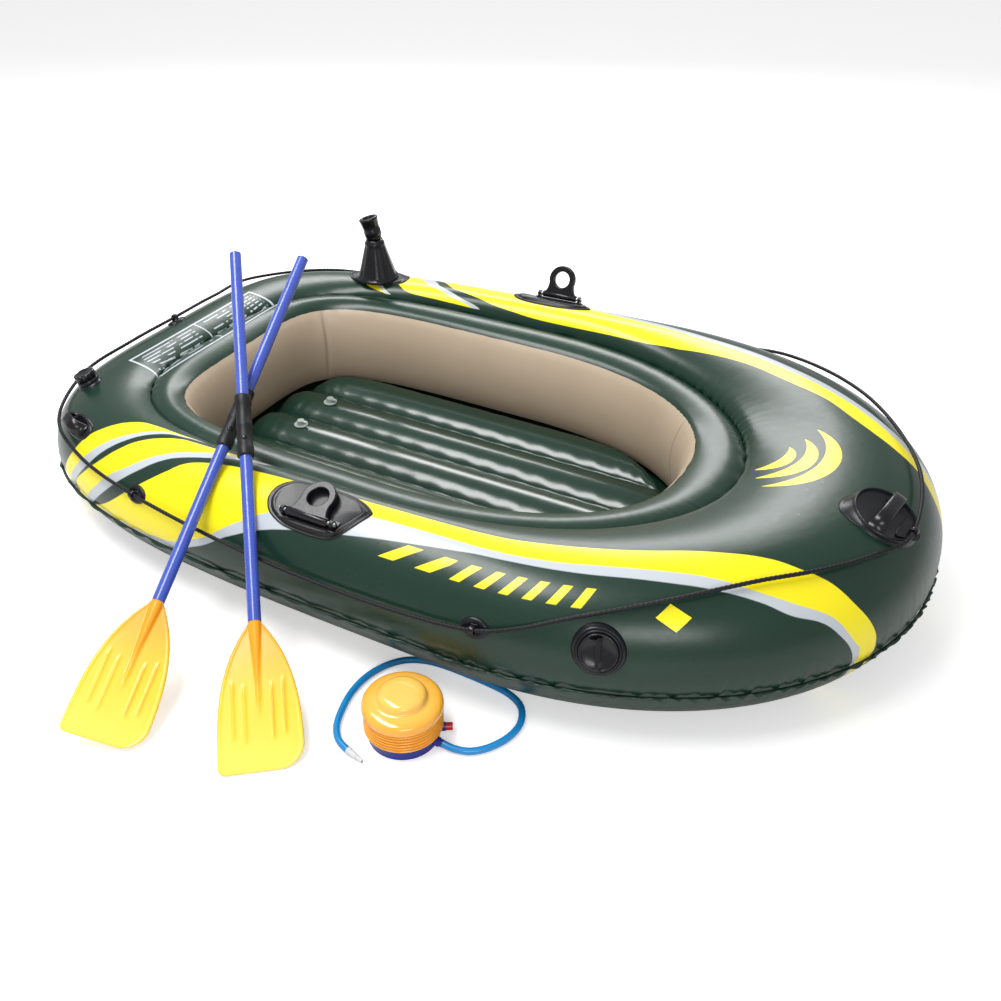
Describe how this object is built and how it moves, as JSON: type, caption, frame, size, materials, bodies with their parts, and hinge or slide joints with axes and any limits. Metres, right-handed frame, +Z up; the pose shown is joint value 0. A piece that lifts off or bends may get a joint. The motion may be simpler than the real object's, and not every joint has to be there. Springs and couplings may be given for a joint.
{
  "type": "inflatable boat",
  "caption": "Inflatable rowing boat with an air floor, grab line, oarlocks, rod holder and valves, and its pair of take-apart oars and foot pump.",
  "frame": {"origin": "on the ground under the middle of the hull, at the bottom sheet's lower face", "axes": "+X to the bow, +Y to port, +Z up; the hull lies on the ground with the oars leaning on its starboard side"},
  "size_m": [1.9319, 1.6068, 0.5697],
  "materials": {
    "pvc_green": "glossy dark green PVC film, inflated, with a faint pull of wrinkles at the seams",
    "pvc_beige": "satin beige PVC film",
    "pvc_black": "soft black moulded vinyl",
    "black_plastic": "hard black moulded plastic, semi-gloss",
    "grey_rubber": "matt grey rubber",
    "steel": "plain steel",
    "clear_vinyl": "milky clear vinyl",
    "cord_black": "black cord, satin",
    "oar_yellow": "moulded yellow plastic, satin",
    "oar_blue": "blue plastic tube, glossy",
    "sleeve_black": "matt black moulded plastic",
    "pump_amber": "translucent amber vinyl, glossy",
    "pump_navy": "navy moulded plastic",
    "stopper_red": "red moulded plastic",
    "hose_blue": "bright blue vinyl hose, glossy",
    "nozzle_white": "white moulded plastic"
  },
  "bodies": {
    "hull": {"bottom_sheet": "pvc_green", "outer_chamber": "pvc_green", "inner_chamber": "pvc_green", "cockpit_wall": "pvc_beige", "floor_mat": "pvc_green", "seam_flange": "pvc_green", "bow_handle_pad": "pvc_black", "bow_handle": "black_plastic", "stern_handle_pad": "pvc_black", "stern_handle": "black_plastic", "starboard_oarlock_pad": "pvc_black", "starboard_oarlock_base": "black_plastic", "starboard_oarlock_pin": "steel", "port_oarlock_pad": "pvc_black", "port_oarlock_base": "black_plastic", "port_oarlock_pin": "steel", "rod_holder_pad": "pvc_black", "rod_holder_cone": "black_plastic", "side_valve_pad": "pvc_black", "side_valve_body": "black_plastic", "side_valve_flap": "grey_rubber", "stern_valve_pad": "pvc_black", "stern_valve_body": "black_plastic", "stern_valve_flap": "grey_rubber", "floor_valves": "clear_vinyl", "rope_holder_pads": "pvc_black", "rope_holder_eyes": "black_plastic", "grab_line": "cord_black"},
    "starboard_ring": {"starboard_oarlock_ring": "black_plastic"},
    "port_ring": {"port_oarlock_ring": "black_plastic"},
    "rod_head": {"rod_holder_head": "black_plastic"},
    "side_cap": {"side_valve_cap": "black_plastic"},
    "stern_cap": {"stern_valve_cap": "black_plastic"},
    "port_plug": {"port_floor_plug": "clear_vinyl"},
    "middle_plug": {"middle_floor_plug": "clear_vinyl"},
    "lower_oar": {"lower_oar_blade": "oar_yellow", "lower_oar_shaft": "oar_blue", "lower_oar_sleeve": "sleeve_black"},
    "lower_grip": {"lower_oar_grip_shaft": "oar_blue", "lower_oar_end_cap": "oar_blue"},
    "upper_oar": {"upper_oar_blade": "oar_yellow", "upper_oar_shaft": "oar_blue", "upper_oar_sleeve": "sleeve_black"},
    "upper_grip": {"upper_oar_grip_shaft": "oar_blue", "upper_oar_end_cap": "oar_blue"},
    "pump": {"pump_base": "pump_navy", "pump_bellows": "pump_amber", "pump_spring": "steel", "pump_outlet": "pump_navy", "pump_hose": "hose_blue", "hose_nozzle": "nozzle_white"},
    "pump_head": {"pump_top": "pump_amber"},
    "pump_stopper": {"pump_plug": "stopper_red"}
  },
  "joints": [
    {"name": "starboard_ring_fold", "type": "hinge", "parent": "hull", "child": "starboard_ring", "pos_m": [-0.07482, -0.54363, 0.27342], "axis": [0.9997, -0.0011, 0.0256], "range_deg": [0, 90]},
    {"name": "port_ring_fold", "type": "hinge", "parent": "hull", "child": "port_ring", "pos_m": [-0.07482, 0.54363, 0.27342], "axis": [-0.9997, -0.0011, -0.0256], "range_deg": [-90, 0]},
    {"name": "rod_head_swivel", "type": "hinge", "parent": "hull", "child": "rod_head", "pos_m": [-0.56342, 0.43087, 0.37693], "axis": [-0.0347, -0.0105, 0.9993], "continuous": true},
    {"name": "side_cap_turn", "type": "hinge", "parent": "hull", "child": "side_cap", "pos_m": [0.50803, -0.55371, 0.20984], "axis": [0.2737, -0.879, 0.3903], "range_deg": [0, 360]},
    {"name": "stern_cap_turn", "type": "hinge", "parent": "hull", "child": "stern_cap", "pos_m": [-0.82925, -0.34285, 0.25969], "axis": [-0.2797, -0.1662, 0.9456], "range_deg": [0, 360]},
    {"name": "port_plug_pull", "type": "slide", "parent": "hull", "child": "port_plug", "axis": [0, 0, 1], "range_m": [0, 0.02]},
    {"name": "middle_plug_pull", "type": "slide", "parent": "hull", "child": "middle_plug", "axis": [0, 0, 1], "range_m": [0, 0.02]},
    {"name": "lower_oar_lift", "type": "slide", "parent": "hull", "child": "lower_oar", "axis": [0, 0, 1], "range_m": [0, 0.3]},
    {"name": "lower_grip_pull", "type": "slide", "parent": "lower_oar", "child": "lower_grip", "axis": [-0.1781, 0.8601, 0.4781], "range_m": [0, 0.09]},
    {"name": "upper_oar_lift", "type": "slide", "parent": "lower_oar", "child": "upper_oar", "axis": [0, 0, 1], "range_m": [0, 0.2]},
    {"name": "upper_grip_pull", "type": "slide", "parent": "upper_oar", "child": "upper_grip", "axis": [-0.5229, 0.6717, 0.5247], "range_m": [0, 0.09]},
    {"name": "pump_carry", "type": "slide", "parent": "hull", "child": "pump", "axis": [0.6, -0.8, 0], "range_m": [0, 0.3]},
    {"name": "pump_press", "type": "slide", "parent": "pump", "child": "pump_head", "axis": [0, 0, -1], "range_m": [0, 0.03], "stiffness_N_per_m": 400, "springref_m": -0.004, "deforming": ["pump_bellows", "pump_spring"]},
    {"name": "pump_plug_pull", "type": "slide", "parent": "pump", "child": "pump_stopper", "axis": [0.866, 0.5, 0], "range_m": [0, 0.02]}
  ]
}
